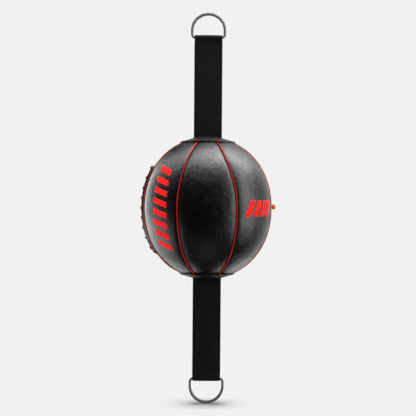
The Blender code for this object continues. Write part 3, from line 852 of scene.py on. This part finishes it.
def make_lace():
    """A flat lace that crosses the slit outside at each pair of eyelets and slants to the next inside."""
    above, below = LACE_OUTER - LACE_BEND, LACE_INNER + LACE_BEND
    latitudes = [float(latitude_at_level(level)) for level in lace_levels()]
    points = []

    def pass_through(side, latitude, inset, height, half_width):
        azimuth = float(from_slit(side * (EYELET_OFFSET - inset), latitude))
        points.append((*cover(azimuth, latitude, height), half_width))

    for row, latitude in enumerate(latitudes):
        at_end = row in (0, LACE_ROWS - 1)
        wide = LACE_HALF_WIDTH * (LACE_END_WIDTH if at_end else 1 + LACE_WIDTH_CHANGE * (-1) ** row)
        pass_through(-1, latitude, 0.0, below, LACE_IN_EYELET)
        pass_through(-1, latitude, 0.0, above - LACE_NECK_DROP, LACE_IN_EYELET)
        pass_through(-1, latitude, LACE_BEND, LACE_OUTER, LACE_NECK_WIDTH * wide)
        pass_through(0, latitude, 0.0, LACE_OUTER - LACE_SAG, wide)
        pass_through(1, latitude, LACE_BEND, LACE_OUTER, LACE_NECK_WIDTH * wide)
        pass_through(1, latitude, 0.0, above - LACE_NECK_DROP, LACE_IN_EYELET)
        pass_through(1, latitude, 0.0, below, LACE_IN_EYELET)
        pass_through(1, latitude, LACE_BEND, LACE_INNER, LACE_IN_EYELET)
        if row + 1 < len(latitudes):
            following = latitudes[row + 1]
            pass_through(0, (latitude + following) / 2, 0.0, LACE_INNER, LACE_HALF_WIDTH)
            pass_through(-1, following, LACE_BEND, LACE_INNER, LACE_IN_EYELET)
    path = curved_through(points, LACE_STEPS)
    middles, half_widths = path[:, :3], path[:, 3]
    leant = (middles - BALL_CENTRE) * (1, 1, (BALL_RADIUS / BALL_HALF_HEIGHT) ** 2)
    upward = unit((0, 0, 1) - unit(leant) * unit(leant)[:, 2:])
    flat_side = np.cross(unit(np.gradient(middles, axis=0)), upward)
    flatten = LACE_HALF_THICKNESS / half_widths
    lace = tube("lace_cord", middles, half_widths, 14, LACE, up=flat_side, flatten=flatten)
    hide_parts("lace")
    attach(lace, "ball")


def on_surface(azimuth, latitude):
    """A matrix on the cover, with its Z along the outward normal."""
    turn = Vector(outward(azimuth, latitude)).to_track_quat("Z", "Y").to_matrix().to_4x4()
    return Matrix.Translation(Vector(cover(azimuth, latitude))) @ turn


EYELET_BORE = 2.2 * MM
EYELET_BARREL = 2.8 * MM
EYELET_FLANGE = 4.2 * MM
EYELET_BOTTOM = -2.4 * MM
EYELET_RISE = 0.65 * MM
FLANGE_STEPS = 10


def rolled(inner, outer, low, rise):
    """The rounded outline of a rolled flange, from its inner radius over the top to its outer one."""
    middle, half = (inner + outer) / 2, (outer - inner) / 2
    angles = [pi * i / FLANGE_STEPS for i in range(FLANGE_STEPS + 1)]
    return [(middle - half * cos(angle), low + rise * sin(angle)) for angle in angles]


def make_eyelets():
    outline = rolled(EYELET_BORE, EYELET_FLANGE, HEM_RISE, EYELET_RISE)
    outline += [(EYELET_BARREL, HEM_RISE), (EYELET_BARREL, EYELET_BOTTOM), (EYELET_BORE, EYELET_BOTTOM)]
    for row, number, azimuth, latitude in eyelet_places():
        place = on_surface(azimuth, latitude)
        eyelet = lathe(f"eyelet_{row}_{number}_rim", outline, 28, BLACK_METAL, place)
        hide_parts(f"eyelet_{row}_{number}")
        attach(eyelet, "ball")


# Inner and outer radius, height and rise
VALVE_RIM = (2.9 * MM, 5.5 * MM, 0.1 * MM, 0.8 * MM)
PLUG_BOTTOM = 2.8 * MM
PLUG_LENGTH = 5.4 * MM
PLUG_RADIUS = 4.5 * MM
PLUG_EDGE = 0.9 * MM
PLUG_PIN_LENGTH = 11.8 * MM
PLUG_RIBS = 5
PLUG_RIB_DEPTH = 0.18 * MM


def plug_outline():
    """(radius, height) points of the valve's plug: a pin, and a ribbed head with a dimple on top."""
    top = PLUG_BOTTOM + PLUG_LENGTH
    inner = PLUG_RADIUS - PLUG_EDGE
    low, high = PLUG_BOTTOM + PLUG_EDGE, top - PLUG_EDGE
    shares = [i / (4 * PLUG_RIBS) for i in range(1, 4 * PLUG_RIBS)]
    quarter = [radians(15 * i) for i in range(7)]
    pin = PLUG_BOTTOM - PLUG_PIN_LENGTH
    outline = [(0.9 * MM, pin), (1.0 * MM, pin + 0.3 * MM), (1.0 * MM, PLUG_BOTTOM)]
    outline += [(inner + PLUG_EDGE * sin(angle), low - PLUG_EDGE * cos(angle)) for angle in quarter]
    for share in shares:
        groove = PLUG_RIB_DEPTH * (1 - cos(tau * PLUG_RIBS * share))
        outline.append((PLUG_RADIUS - groove, low + (PLUG_LENGTH - 2 * PLUG_EDGE) * share))
    outline += [(inner + PLUG_EDGE * cos(angle), high + PLUG_EDGE * sin(angle)) for angle in quarter]
    return outline + [(1.8 * MM, top), (1.2 * MM, top - 0.5 * MM), (0.3 * MM, top - 0.6 * MM)]


def make_valve():
    place = on_surface(VALVE_AZIMUTH, float(latitude_at_level(VALVE_LEVEL)))
    rim = lathe("valve_rim", rolled(*VALVE_RIM), 36, BLACK_METAL, place)
    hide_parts("valve_eyelet")
    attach(rim, "ball")
    plug = lathe("valve_plug_moulding", plug_outline(), 36, RED_RUBBER, place, closed=False)
    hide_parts("valve_plug")
    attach(plug, "valve_plug")


# -------- end caps

CAP_SLIT_HALF = (STRAP_WIDTH / 2 + 0.7 * MM, 2.4 * MM)
CAP_STITCH_RADIUS = 44.6 * MM
CAP_MIDDLE = 1.0 * MM
CAP_SIDE_RIM = 1.1 * MM
CAP_THICKENS = (34 * MM, 45 * MM)
CAP_EDGE_DROP = 0.15 * MM
CAP_EDGE_WIDTH = 0.6 * MM
CAP_EDGE_BULGE = 1.004
GROOVE_DEPTH = 0.3 * MM
GROOVE_WIDTH = 0.9 * MM
RIDGE_RISE = 0.95 * MM
RIDGE_WIDTH = 1.9 * MM
RIDGE_START_FACING = (18 * MM, 32 * MM)
RIDGE_START_SIDE = (40 * MM, 44 * MM)
UNDER_RIDGES = 0.8
LIP_RISE = 0.9 * MM
LIP_EXTRA_RISE = 1.0 * MM
LIP_EXTRA_AT = 17 * MM
LIP_EXTRA_WIDTH = 4.5 * MM
LIP_REACH = 2.8 * MM
CAP_COLUMNS = 168
CAP_LIP_SHARE = 0.15
CAP_SLIT_POWER = 0.35
CAP_STITCHES = 76
CAP_STITCH_HALF_SHARE = 0.38
CAP_STITCH_LIFT = 0.1 * MM


def facing_share(x, y):
    """1 at the front and back of an end, and 0 at its sides."""
    return (y / np.maximum(np.hypot(x, y), NEAR_ZERO)) ** 2


def cap_ridges(x, y, side):
    """How far the cords under the cap lift it: over most of the front and back, at the rim on the sides."""
    radius = np.hypot(x, y)
    azimuth = np.degrees(np.arctan2(x, -y))
    latitude = side * np.arccos(np.minimum(radius / BALL_RADIUS, 1.0) ** (BALL_POWER / 2))
    far_in = facing_share(x, y) * smooth_step(*RIDGE_START_FACING, radius)
    reach = np.maximum(far_in, smooth_step(*RIDGE_START_SIDE, radius))
    height = np.zeros_like(radius)
    for seam in SEAMS:
        away = np.radians((azimuth - seam_azimuth(seam, latitude) + 180) % 360 - 180) * radius
        height += RIDGE_RISE * np.exp(-((away / RIDGE_WIDTH) ** 2)) * reach
    return height


def cap_lip(x, y):
    """The slit's raised lip, fullest near the strap's edges."""
    outside_x = np.maximum(np.abs(x) - CAP_SLIT_HALF[0], 0)
    outside_y = np.maximum(np.abs(y) - CAP_SLIT_HALF[1], 0)
    full = LIP_RISE + LIP_EXTRA_RISE * np.exp(-(((np.abs(x) - LIP_EXTRA_AT) / LIP_EXTRA_WIDTH) ** 2))
    return full * np.exp(-np.hypot(outside_x, outside_y) / LIP_REACH)


def cap_height(x, y, side):
    """The cap's outer height over the cover: a thin middle, ridges, a stitched groove and a thicker rim."""
    radius = np.hypot(x, y)
    rim = CAP_SIDE_RIM + (CAP_THICKNESS - CAP_SIDE_RIM) * facing_share(x, y)
    height = CAP_GAP + CAP_MIDDLE + (rim - CAP_MIDDLE) * smooth_step(*CAP_THICKENS, radius)
    height += cap_ridges(x, y, side) + cap_lip(x, y)
    height -= GROOVE_DEPTH * np.exp(-(((radius - CAP_STITCH_RADIUS) / GROOVE_WIDTH) ** 2))
    height -= CAP_EDGE_DROP * smooth_step(CAP_RADIUS - CAP_EDGE_WIDTH, CAP_RADIUS, radius)
    return height


def cap_surface(x, y, height, side):
    """Points over the cover at places given from above."""
    radius = np.minimum(np.hypot(x, y), BALL_RADIUS)
    latitude = np.arccos((radius / BALL_RADIUS) ** (BALL_POWER / 2))
    spread, level = profile(latitude, height)
    grow = spread / np.maximum(radius, NEAR_ZERO)
    return np.stack((x * grow, y * grow, CENTRE_Z + side * level), axis=-1)


def make_end_cap(end, side):
    angles = tau * np.arange(CAP_COLUMNS) / CAP_COLUMNS
    turns = np.stack((np.sin(angles), -np.cos(angles)), axis=1)
    outer = CAP_RADIUS * turns
    inner = CAP_SLIT_HALF * np.sign(turns) * np.abs(turns) ** CAP_SLIT_POWER
    lip, open_part = np.linspace(0, CAP_LIP_SHARE, 5), np.linspace(CAP_LIP_SHARE, 1, 24)
    shares = np.concatenate((lip[:-1], open_part))
    top, bottom = [], []
    for share in shares:
        x, y = (inner + (outer - inner) * share).T
        top.append(cap_surface(x, y, cap_height(x, y, side), side))
        bottom.append(cap_surface(x, y, CAP_GAP + UNDER_RIDGES * cap_ridges(x, y, side), side))
    x, y = CAP_EDGE_BULGE * outer.T
    middle = (cap_height(x, y, side) + CAP_GAP + cap_ridges(x, y, side)) / 2
    edge = cap_surface(x, y, middle, side)
    rings = np.array([*top, edge, *bottom[::-1]])
    cap = sweep(f"{end}_cap_leather", rings, CAP_LEATHER, closed=True, sharp=CAP_SHARP)
    cap.data.materials.append(CUT_EDGE)
    for index in range((len(top) - 1) * CAP_COLUMNS, (len(top) + 1) * CAP_COLUMNS):
        cap.data.polygons[index].material_index = 1
    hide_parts(f"{end}_end_cap")
    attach(cap, "ball")
    stitch_end_cap(end, side)


def stitch_end_cap(end, side):
    places = tau * (np.arange(CAP_STITCHES) + 0.5) / CAP_STITCHES
    half = CAP_STITCH_HALF_SHARE * tau / CAP_STITCHES
    seam_points = []
    for shift in (-half, half):
        x, y = CAP_STITCH_RADIUS * np.sin(places + shift), -CAP_STITCH_RADIUS * np.cos(places + shift)
        height = cap_height(x, y, side) + CAP_STITCH_LIFT
        seam_points.append(cap_surface(x, y, height, side))
    normals = unit(cap_surface(x, y, height + 1.0, side) - cap_surface(x, y, height, side))
    row = stitches(f"{end}_cap_stitches", *seam_points, normals, THREAD_RADIUS)
    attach(row, "ball")


# -------- straps and rings

PLY_THICKNESS = 1.9 * MM
PLY_OFFSET = 1.03 * MM
TAIL_BELOW_ROOT = 9.0 * MM
BEND_ABOVE_ROOT = 4.0 * MM
STRAP_STEP = 1.6 * MM
STRAP_COLUMNS = 30
SECTION_POWER = 26
SELVEDGE_RISE = 0.10 * MM
# As shares of half the webbing's width
SELVEDGE_AT = 0.95
SELVEDGE_WIDTH = 0.025
# Where the plies part for the loop: a share of the way out, at a share of LOOP_PINCH below the bar
PARTING_OUT = 0.42
PARTING_BELOW = 0.55
STRAIGHT_BELOW_PINCH = 3 * MM
PLIES_MEET_BELOW_PINCH = 1.0 * MM
LOOP_NARROWS = 0.016
LOOP_BOW = 0.35 * MM
STRAP_WARP = 0.12 * MM
STRAP_WARP_PITCH = 61 * MM
STRAP_THREAD_RADIUS = 0.42 * MM
STRAP_STITCH_LENGTH = 2.9 * MM
STRAP_STITCH_PITCH = 3.8 * MM
CROSS_ROWS_BELOW_BAR = (LOOP_PINCH + 1.2 * MM, LOOP_PINCH + 4.4 * MM)
CROSS_ROW_HALF = 21.5 * MM
LONG_ROW_X = 16.4 * MM
LONG_ROW_START = 3 * MM
LONG_ROW_END = 6 * MM


def arc_points(centre, radius, start, end, steps):
    """Points along an arc between two angles in degrees."""
    angles = np.radians(np.linspace(start, end, steps + 1))
    return np.stack((centre[0] + radius * np.cos(angles), centre[1] + radius * np.sin(angles)), axis=1)


def strap_path(side):
    """(y, z) points up the front of the webbing, over the ring's bar and down the back, for the top end."""
    bar = side * (BAR_Z[side] - CENTRE_Z)
    root = side * (ROOT_Z[side] - CENTRE_Z)
    loop = LOOP_HOLE_RADIUS + PLY_THICKNESS / 2
    taper = degrees(asin((loop - PLY_OFFSET) / LOOP_PINCH))
    front = np.arange(root - TAIL_BELOW_ROOT, bar - LOOP_PINCH - STRAIGHT_BELOW_PINCH, STRAP_STEP)
    over = arc_points((0, bar), loop, 180 + taper, -taper, 22)
    rise = np.stack((np.full_like(front, -PLY_OFFSET), front), axis=1)
    pinch = (-PLY_OFFSET, bar - LOOP_PINCH - PLIES_MEET_BELOW_PINCH)
    parting = (-PLY_OFFSET - (loop - PLY_OFFSET) * PARTING_OUT, bar - LOOP_PINCH * PARTING_BELOW)
    upward = np.vstack((rise, pinch, parting))
    downward = upward[::-1] * (-1, 1)
    return np.vstack((upward, over, downward)), bar


def strap_rings(side):
    """Cross-sections of the webbing, with round selvedges, slightly bowed where it rounds the bar."""
    path, bar = strap_path(side)
    tangents = unit(np.gradient(path, axis=0))
    normals = np.stack((-tangents[:, 1], tangents[:, 0]), axis=1)
    x = -np.cos(np.linspace(0, pi, STRAP_COLUMNS + 1))
    thickness = PLY_THICKNESS / 2 * (1 - np.abs(x) ** SECTION_POWER) ** 0.5
    selvedge = SELVEDGE_RISE * np.exp(-(((np.abs(x) - SELVEDGE_AT) / SELVEDGE_WIDTH) ** 2))
    upper = thickness + selvedge * (thickness > 0)
    section_x = np.concatenate((x, x[-2:0:-1]))
    section_t = np.concatenate((upper, -upper[-2:0:-1]))
    in_loop = smooth_step(bar - LOOP_PINCH, bar, path[:, 1])
    rings = []
    for (y, z), (normal_y, normal_z), loop in zip(path, normals, in_loop):
        half = STRAP_WIDTH / 2 * (1 - LOOP_NARROWS * loop)
        bow = LOOP_BOW * loop * (1 - section_x**2)
        warp = STRAP_WARP * (1 - loop) * wave(z, STRAP_WARP_PITCH) * section_x
        out = section_t + bow + warp
        rings.append(np.stack((section_x * half, y + normal_y * out, z + normal_z * out), axis=1))
    rings = np.array(rings)
    rings[..., 2] = CENTRE_Z + side * rings[..., 2]
    return rings, CENTRE_Z + side * bar


def make_strap(end, side):
    rings, bar = strap_rings(side)
    strap = sweep(f"{end}_strap_webbing", rings, WEBBING, sharp=CLOTH_SHARP)
    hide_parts(f"{end}_strap")
    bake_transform(strap)
    stitch_strap(end, side, bar)


def stitch_strap(end, side, bar):
    """Thread on both faces: two rows across under the loop and a long row near each edge."""
    length, pitch = STRAP_STITCH_LENGTH, STRAP_STITCH_PITCH
    low = ROOT_Z[side] + side * (BEND_ABOVE_ROOT + LONG_ROW_START)
    run = abs(bar - low) - LOOP_PINCH - LONG_ROW_END
    starts, ends = [], []
    for face in (-1, 1):
        y = face * (PLY_OFFSET + PLY_THICKNESS / 2)
        for below in CROSS_ROWS_BELOW_BAR:
            for x in np.arange(-CROSS_ROW_HALF, CROSS_ROW_HALF - length, pitch):
                starts.append((x, y, bar - side * below))
                ends.append((x + length, y, bar - side * below))
        for x in (-LONG_ROW_X, LONG_ROW_X):
            for step in np.arange(0, run - length, pitch):
                starts.append((x, y, low + side * step))
                ends.append((x, y, low + side * (step + length)))
    starts, ends = np.array(starts), np.array(ends)
    normals = np.zeros_like(starts)
    normals[:, 1] = np.sign(starts[:, 1])
    rows = stitches(f"{end}_strap_stitches", starts, ends, normals, STRAP_THREAD_RADIUS)
    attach(rows, f"{end}_strap")


RING_SIDE_RADIUS = 2.2 * MM
RING_CROWN_RADIUS = 2.8 * MM
CROWN_START = 0.35 * RING_ARC_CENTRE
WELD_RISE = 0.2 * MM
WELD_WIDTH = 1.6 * MM


def make_ring(end, side):
    """The forged D-ring, stoutest at its crown, with a weld on the straight bar inside the loop."""
    straight = RING_HALF_WIDTH - RING_CORNER_RADIUS
    bar = [(x, 0.0) for x in np.linspace(-straight, straight, 25)[1:-1]]
    outline = np.vstack(
        (
            bar,
            arc_points((straight, RING_CORNER_RADIUS), RING_CORNER_RADIUS, -90, 0, 14),
            arc_points((0, RING_ARC_CENTRE), RING_HALF_WIDTH, 0, 180, 72),
            arc_points((-straight, RING_CORNER_RADIUS), RING_CORNER_RADIUS, 180, 270, 14),
        )
    )
    x, rise = outline[:, 0], outline[:, 1]
    points = np.stack((x, np.zeros(len(outline)), BAR_Z[side] + side * rise), axis=1)
    weld = WELD_RISE * np.exp(-((x / WELD_WIDTH) ** 2)) * (rise < 0.1 * MM)
    crown = smooth_step(CROWN_START, RING_ARC_CENTRE + RING_HALF_WIDTH, rise)
    radius = RING_SIDE_RADIUS + (RING_CROWN_RADIUS - RING_SIDE_RADIUS) * crown + weld
    ring = tube(f"{end}_ring_wire", points, radius, 24, NICKEL, closed=True, up=(0, 1, 0))
    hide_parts(f"{end}_ring")
    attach(ring, f"{end}_ring")


# -------- printed marks

PRINT_LIFT = 0.14 * MM
PRINT_THICKNESS = 0.25 * MM
PRINT_ROWS = 11
PRINT_COLUMNS = 15
LEFT_PRINT_AZIMUTHS = (-54.5, -37.5)
RIGHT_PRINT_AZIMUTH = 37.5


def print_bar(name, corners, number):
    """A thin printed shape on a numbered gore, from four corners given as azimuths and levels."""
    a, b, c, d = (np.array(corner) for corner in corners)
    points = []
    for v in np.linspace(0, 1, PRINT_ROWS):
        for u in np.linspace(0, 1, PRINT_COLUMNS):
            azimuth, level = (a * (1 - u) + b * u) * (1 - v) + (d * (1 - u) + c * u) * v
            latitude = float(latitude_at_level(level))
            height = float(unevenness(azimuth, latitude, GORE_PHASE * number)) + PRINT_LIFT
            points.append(cover(azimuth, latitude, height))
    faces = list(grid_faces(PRINT_ROWS, PRINT_COLUMNS))
    piece = sheet(name, np.array(points), faces, PRINT, PRINT_THICKNESS)
    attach(piece, "ball")


def make_prints():
    """Plain slanted bars: a column on the left gore, and a row on the right one."""
    count, pitch, tall, lean = 8, 18.4 * MM, 10.0 * MM, 5.0 * MM
    left, right = LEFT_PRINT_AZIMUTHS
    for bar in range(count):
        low = (bar - (count - 1) / 2) * pitch - tall / 2
        high = low + tall
        corners = ((left, low + lean), (right, low - lean), (right, high - lean), (left, high + lean))
        print_bar(f"print_left_{bar + 1}", corners, 1)
    count, pitch, wide, lean, half = 4, 8.9, 6.3, 3.6, 14.0 * MM
    for bar in range(count):
        left = RIGHT_PRINT_AZIMUTH + bar * pitch
        right = left + wide
        corners = ((left - lean, -half), (right - lean, -half), (right + lean, half), (left + lean, half))
        print_bar(f"print_right_{bar + 1}", corners, 3)


# -------- CAD pieces that stay


def finish_cad_nodes():
    materials = {
        "bladder": BLADDER,
        "valve_stem": PALE_RUBBER,
        "upper_anchor_disc": WEBBING,
        "lower_anchor_disc": WEBBING,
        "upper_strap_anchor": WEBBING,
        "lower_strap_anchor": WEBBING,
    }
    for name, material in materials.items():
        node = nodes[name]
        node.data.materials.clear()
        node.data.materials.append(material)


# -------- stage, light and camera

VIEW_DISTANCE = 2.0
VIEW_WIDTH = 0.7415
VIEW_ROLL = 0.41
VIEW_SHIFT = (1.2 * MM, 0.1 * MM)
SENSOR = 36.0
FLOOR_GAP = 1 * MM
FLOOR_RADIUS = 0.6
# The floor's glow where its painted contact shadow is darkest, and where there is none
FLOOR_SHADE_TONES = (0.80, 0.995)
SHADE_REACH = 70 * MM
ROOM_RADIUS = 13
BACKGROUND = (0.880, 0.880, 0.880)
AMBIENT = (1.5, 1.5, 1.5)


def glowing(name):
    """A material that only glows, in the background's colour, and its emission node."""
    material = bpy.data.materials.new(name)
    material.use_nodes = True
    material.node_tree.nodes.clear()
    glow = add_node(material.node_tree, "ShaderNodeEmission")
    glow.inputs["Color"].default_value = (*BACKGROUND, 1)
    output = add_node(material.node_tree, "ShaderNodeOutputMaterial")
    link(glow.outputs["Emission"], output.inputs["Surface"])
    return material, glow


def finish_stage_piece(name, material):
    """Names the mesh just added, and keeps it from lighting or shading the object."""
    piece = bpy.context.object
    piece.name = name
    piece.data.materials.append(material)
    piece.visible_glossy = False
    piece.visible_diffuse = False
    piece.visible_shadow = False
    return piece


def make_stage():
    """A pale floor just under the lower ring, with a painted contact shadow that makes it a little darker
    near it, inside a pale round room.
    """
    material, glow = glowing("pale_floor")
    # Ambient occlusion dims the floor's glow near the object: a painted contact shadow, not light falling on
    # it
    occlusion = add_node(material.node_tree, "ShaderNodeAmbientOcclusion", samples=16)
    occlusion.inputs["Distance"].default_value = SHADE_REACH
    link(remap(occlusion.outputs["AO"], 0.25, 1.0, *FLOOR_SHADE_TONES), glow.inputs["Strength"])
    place = (0, 0, cad_low[2] - FLOOR_GAP)
    bpy.ops.mesh.primitive_circle_add(vertices=96, radius=FLOOR_RADIUS, fill_type="NGON", location=place)
    floor = finish_stage_piece("floor", material)
    material, _ = glowing("pale_room")
    place = (0, 0, CENTRE_Z)
    bpy.ops.mesh.primitive_uv_sphere_add(segments=48, ring_count=24, radius=ROOM_RADIUS, location=place)
    room = finish_stage_piece("room", material)
    room.visible_transmission = False


def make_world():
    """An even grey world that lights diffuse surfaces only."""
    world = bpy.data.worlds.new("studio")
    bpy.context.scene.world = world
    world.use_nodes = True
    world.node_tree.nodes["Background"].inputs["Color"].default_value = (*AMBIENT, 1)
    world.cycles_visibility.glossy = False
    bpy.context.scene.view_settings.view_transform = "Standard"


LIGHT_DISTANCE = 1.6
# Each lamp's name, azimuth, elevation, width, height and watts
LIGHTS = (
    ("top", 5, 84, 1.2, 1.1, 38),
    ("right_top", 103, 55, 1.0, 1.2, 42),
    ("right", 72, 4, 0.9, 1.9, 31),
    ("rear_top", 172, 42, 1.1, 0.6, 2.5),
    ("right_rear", 140, 6, 1.1, 2.0, 9),
    ("right_low", 150, -40, 0.7, 0.8, 5),
    ("left_top", -100, 55, 0.9, 0.8, 11),
    ("left_rear_top", -126, 32, 0.45, 0.5, 3),
    ("left_side", -106, -24, 0.9, 1.1, 11),
    ("left_rear", -140, 0, 0.9, 1.2, 12),
    ("left_front_low", -78, -26, 0.8, 0.8, 1),
    ("left_low", -150, -39, 0.8, 0.8, 5),
    ("floor_bounce", 0, -62, 1.0, 1.0, 1.5),
)


def make_lights():
    for name, azimuth, elevation, width, height, watts in LIGHTS:
        data = bpy.data.lights.new(name, "AREA")
        data.shape = "RECTANGLE"
        data.size = width
        data.size_y = height
        data.energy = watts
        light = new_object(name, data)
        turn, lift = radians(azimuth), radians(elevation)
        direction = Vector((sin(turn) * cos(lift), -cos(turn) * cos(lift), sin(lift)))
        light.location = Vector(BALL_CENTRE) + direction * LIGHT_DISTANCE
        light.rotation_euler = direction.to_track_quat("Z", "Y").to_euler()
        light.visible_camera = False


def make_camera():
    data = bpy.data.cameras.new("camera")
    data.sensor_width = SENSOR
    data.lens = SENSOR * VIEW_DISTANCE / VIEW_WIDTH
    camera = new_object("camera", data)
    camera.location = (VIEW_SHIFT[0], -VIEW_DISTANCE, CENTRE_Z + VIEW_SHIFT[1])
    camera.rotation_euler = (pi / 2, -radians(VIEW_ROLL), 0)
    bpy.context.scene.camera = camera


make_camera()
make_stage()
make_world()
make_lights()
make_gores()
make_facings()
make_tongue()
make_piping()
make_lace()
make_eyelets()
make_valve()
for end_name, end_side in ENDS:
    make_end_cap(end_name, end_side)
    make_strap(end_name, end_side)
    make_ring(end_name, end_side)
make_prints()
finish_cad_nodes()
